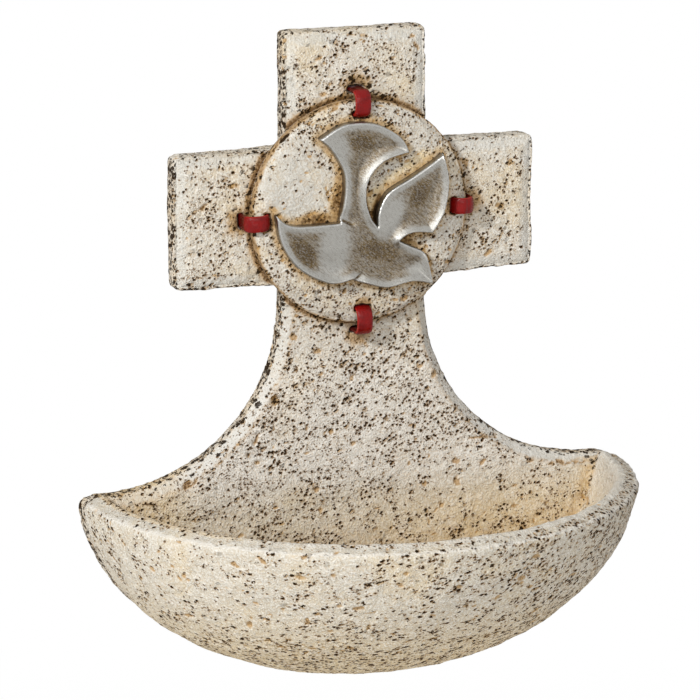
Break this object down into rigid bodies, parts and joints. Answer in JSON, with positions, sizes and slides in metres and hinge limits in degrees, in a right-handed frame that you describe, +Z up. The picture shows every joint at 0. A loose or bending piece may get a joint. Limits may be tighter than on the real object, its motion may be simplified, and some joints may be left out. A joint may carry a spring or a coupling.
{
  "type": "holy water stoup",
  "caption": "Wall-hung holy water stoup: a cast-stone cross whose foot flares behind a half-round basin, with a strapped round medallion and a pewter dove at the crossing.",
  "frame": {"origin": "middle of the cross's crossing, on the flat back face that lies against the wall", "axes": "+Y points into the wall, -Y is the front, +Z is up, +X is to the right of someone facing it"},
  "size_m": [0.1588, 0.0861, 0.1798],
  "materials": {
    "stone": "cream cast stone, pitted, with a brown wash in the hollows",
    "pewter": "satin cast pewter with a brown patina in the hollows",
    "enamel": "deep red enamel, semi-gloss",
    "steel": "zinc-plated steel"
  },
  "bodies": {
    "root": {"cross_slab": "stone", "basin": "stone", "medallion": "stone", "dove": "pewter", "strap_right": "enamel", "strap_top": "enamel", "strap_left": "enamel", "strap_bottom": "enamel", "medallion_dowel": "steel", "basin_dowel_left": "steel", "basin_dowel_right": "steel", "basin_dowel_lower": "steel", "hanger_plate": "steel", "hanger_screw_left": "steel", "hanger_screw_right": "steel"}
  },
  "joints": []
}
